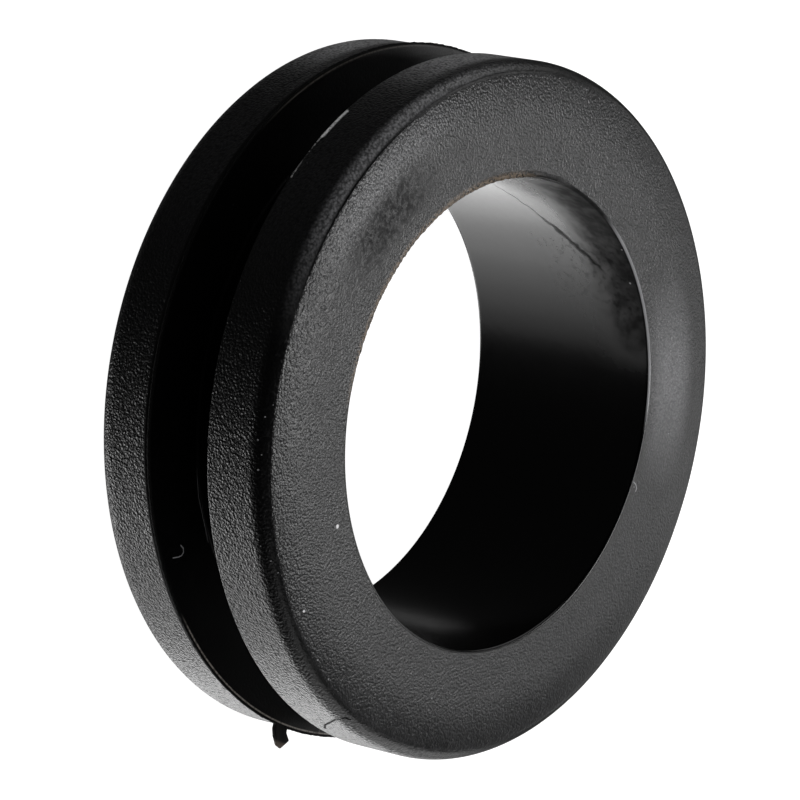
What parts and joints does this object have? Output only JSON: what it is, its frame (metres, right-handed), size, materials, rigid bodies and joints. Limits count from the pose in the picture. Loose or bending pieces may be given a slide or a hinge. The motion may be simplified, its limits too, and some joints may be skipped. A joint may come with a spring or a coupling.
{
  "type": "rubber grommet",
  "caption": "Open round rubber grommet: a soft moulded ring with a cable bore and an outer groove that snaps into a round panel hole.",
  "frame": {"origin": "centre of the bore at the outer face of the lower flange, which the ring lies on", "axes": "+Z along the bore towards the upper flange; +X is the reference for angles round the ring, and the torn flash tab lies at -10 degrees from it"},
  "size_m": [0.0307, 0.03, 0.0095],
  "materials": {
    "rubber": "matte black, with a fine spark-eroded grain on the outer faces and rims and smooth walls in the groove and bore"
  },
  "bodies": {
    "root": {"grommet": "rubber"}
  },
  "joints": []
}
